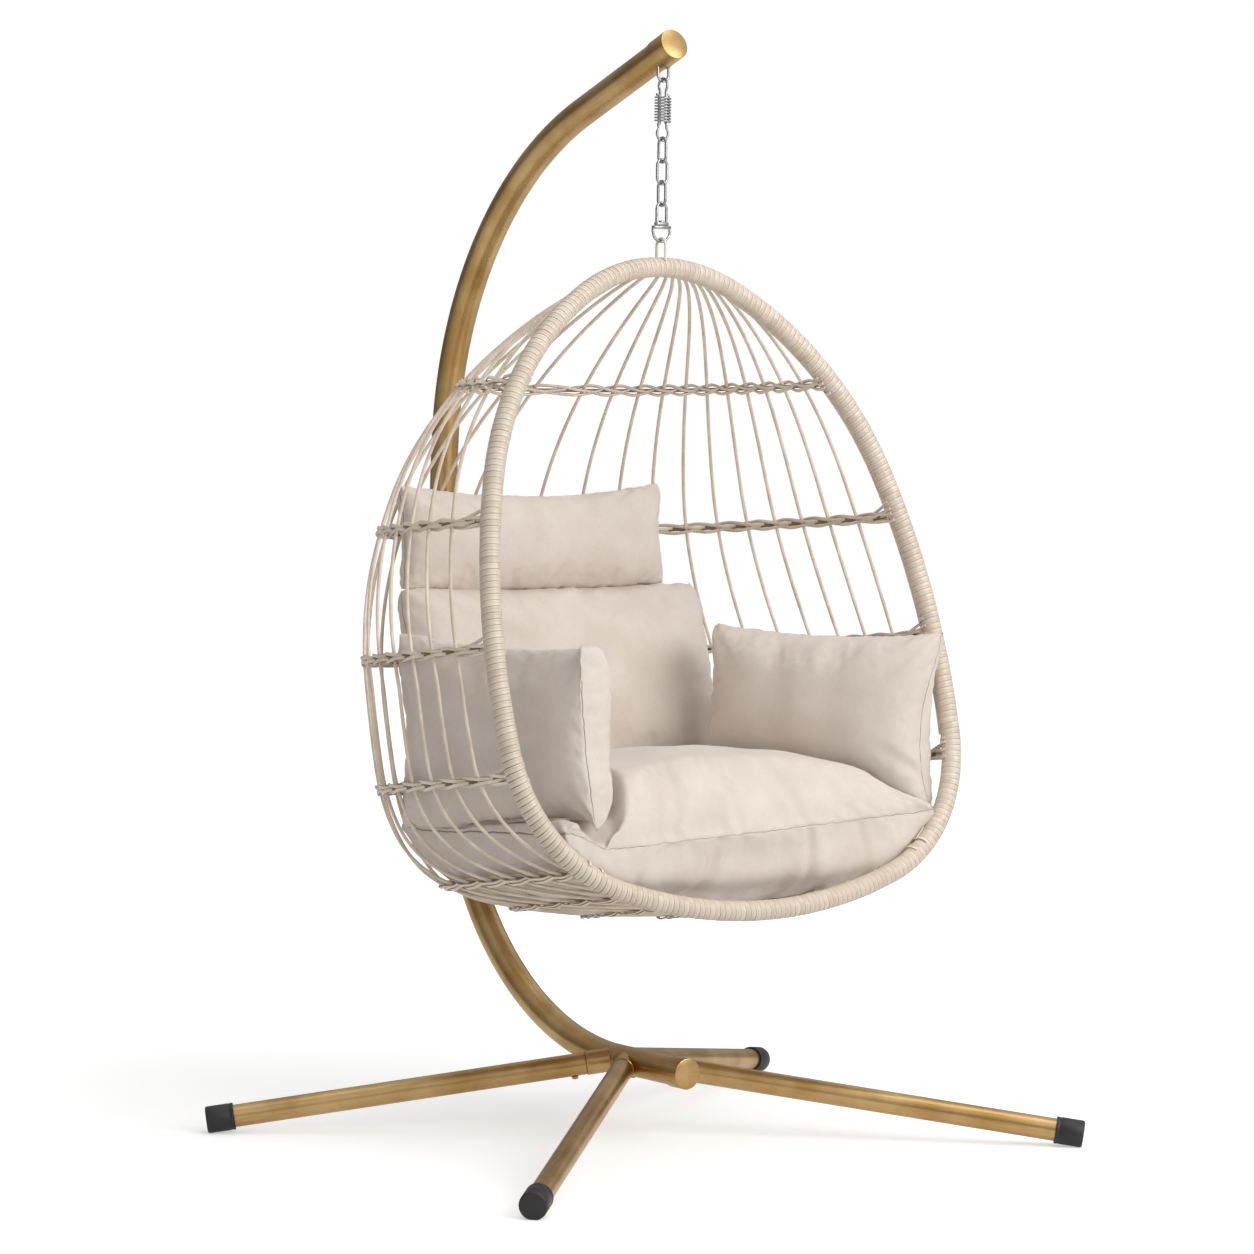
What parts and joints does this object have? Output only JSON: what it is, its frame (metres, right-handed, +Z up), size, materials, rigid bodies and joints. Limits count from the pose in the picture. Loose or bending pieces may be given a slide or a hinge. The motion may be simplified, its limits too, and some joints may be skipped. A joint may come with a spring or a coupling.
{
  "type": "hanging_egg_chair",
  "caption": "Hanging egg chair: woven pale-rattan basket with cushions on a spring, chain and swivel hook under a C-shaped gold tube stand with four legs.",
  "frame": {"origin": "on the floor under the centre of the whole outline", "axes": "+Z up, the basket opens towards -Y, the mast stands at +Y, +X is the sitter's left"},
  "size_m": [1.2736, 1.193, 1.95],
  "materials": {
    "gold": "brushed champagne gold, satin",
    "rubber": "matt",
    "chain": "zinc-plated, bright",
    "rim_steel": "matt",
    "rattan": "satin woven strand",
    "fabric": "plain weave, matt"
  },
  "bodies": {
    "stand": {"mast_base": "gold", "mast_lower": "gold", "mast_upper": "gold", "mast_low_cap": "gold", "mast_top_cap": "gold", "mast_screws": "gold", "leg_front_left": "gold", "leg_front_right": "gold", "leg_rear_left": "gold", "leg_rear_right": "gold", "foot_front_left": "rubber", "foot_front_right": "rubber", "foot_rear_left": "rubber", "foot_rear_right": "rubber", "leg_bolts": "gold", "hanging_eye": "chain"},
    "upper_bar": {"upper_drawbar": "chain", "spring_coil": "chain"},
    "lower_bar": {"lower_drawbar": "chain"},
    "link_1": {"chain_link_1": "chain"},
    "link_2": {"chain_link_2": "chain"},
    "link_3": {"chain_link_3": "chain"},
    "swivel": {"swivel_eye": "chain"},
    "hook": {"swivel_pin": "chain", "swivel_hook": "chain"},
    "gate": {"hook_gate": "chain"},
    "basket": {"rim_eyelet": "rattan", "rim_tube": "rim_steel", "rim_wrap": "rattan", "rim_side_rods": "rattan", "ribs_left": "rattan", "ribs_right": "rattan", "hoop_1": "rattan", "hoop_2": "rattan", "hoop_3": "rattan", "hoop_4": "rattan", "hoop_5": "rattan", "hoop_6": "rattan", "hoop_7": "rattan", "hoop_8": "rattan", "seat_cushion": "fabric", "back_cushion": "fabric", "head_cushion": "fabric", "arm_pillow_left": "fabric", "arm_pillow_right": "fabric"}
  },
  "joints": [
    {"name": "swing_fore_aft", "type": "hinge", "parent": "stand", "child": "upper_bar", "pos_m": [0, -0.10087, 1.86091], "axis": [1, 0, 0], "range_deg": [-10, 3]},
    {"name": "spring_travel", "type": "slide", "parent": "upper_bar", "child": "lower_bar", "axis": [0, 0, -1], "range_m": [0, 0.012], "stiffness_N_per_m": 20000, "springref_m": -0.012, "deforming": ["spring_coil"]},
    {"name": "link_1_sway", "type": "hinge", "parent": "lower_bar", "child": "link_1", "pos_m": [0, -0.10087, 1.76318], "axis": [0, 1, 0], "range_deg": [-1, 1]},
    {"name": "link_2_swing", "type": "hinge", "parent": "link_1", "child": "link_2", "pos_m": [0, -0.10087, 1.72548], "axis": [1, 0, 0], "range_deg": [-1, 1]},
    {"name": "link_3_sway", "type": "hinge", "parent": "link_2", "child": "link_3", "pos_m": [0, -0.10087, 1.68778], "axis": [0, 1, 0], "range_deg": [-1, 1]},
    {"name": "swivel_swing", "type": "hinge", "parent": "link_3", "child": "swivel", "pos_m": [0, -0.10087, 1.65008], "axis": [1, 0, 0], "range_deg": [-1, 1]},
    {"name": "basket_spin", "type": "hinge", "parent": "swivel", "child": "hook", "pos_m": [0, -0.10087, 1.61308], "axis": [0, 0, 1], "continuous": true},
    {"name": "hook_gate_open", "type": "hinge", "parent": "hook", "child": "gate", "pos_m": [0.0185, -0.10087, 1.60096], "axis": [0, 1, 0], "range_deg": [0, 25], "stiffness_Nm_per_rad": 0.01, "springref_deg": -28.65},
    {"name": "basket_tilt", "type": "hinge", "parent": "hook", "child": "basket", "pos_m": [0, -0.10087, 1.58776], "axis": [0, 1, 0], "range_deg": [-8, 8]}
  ]
}
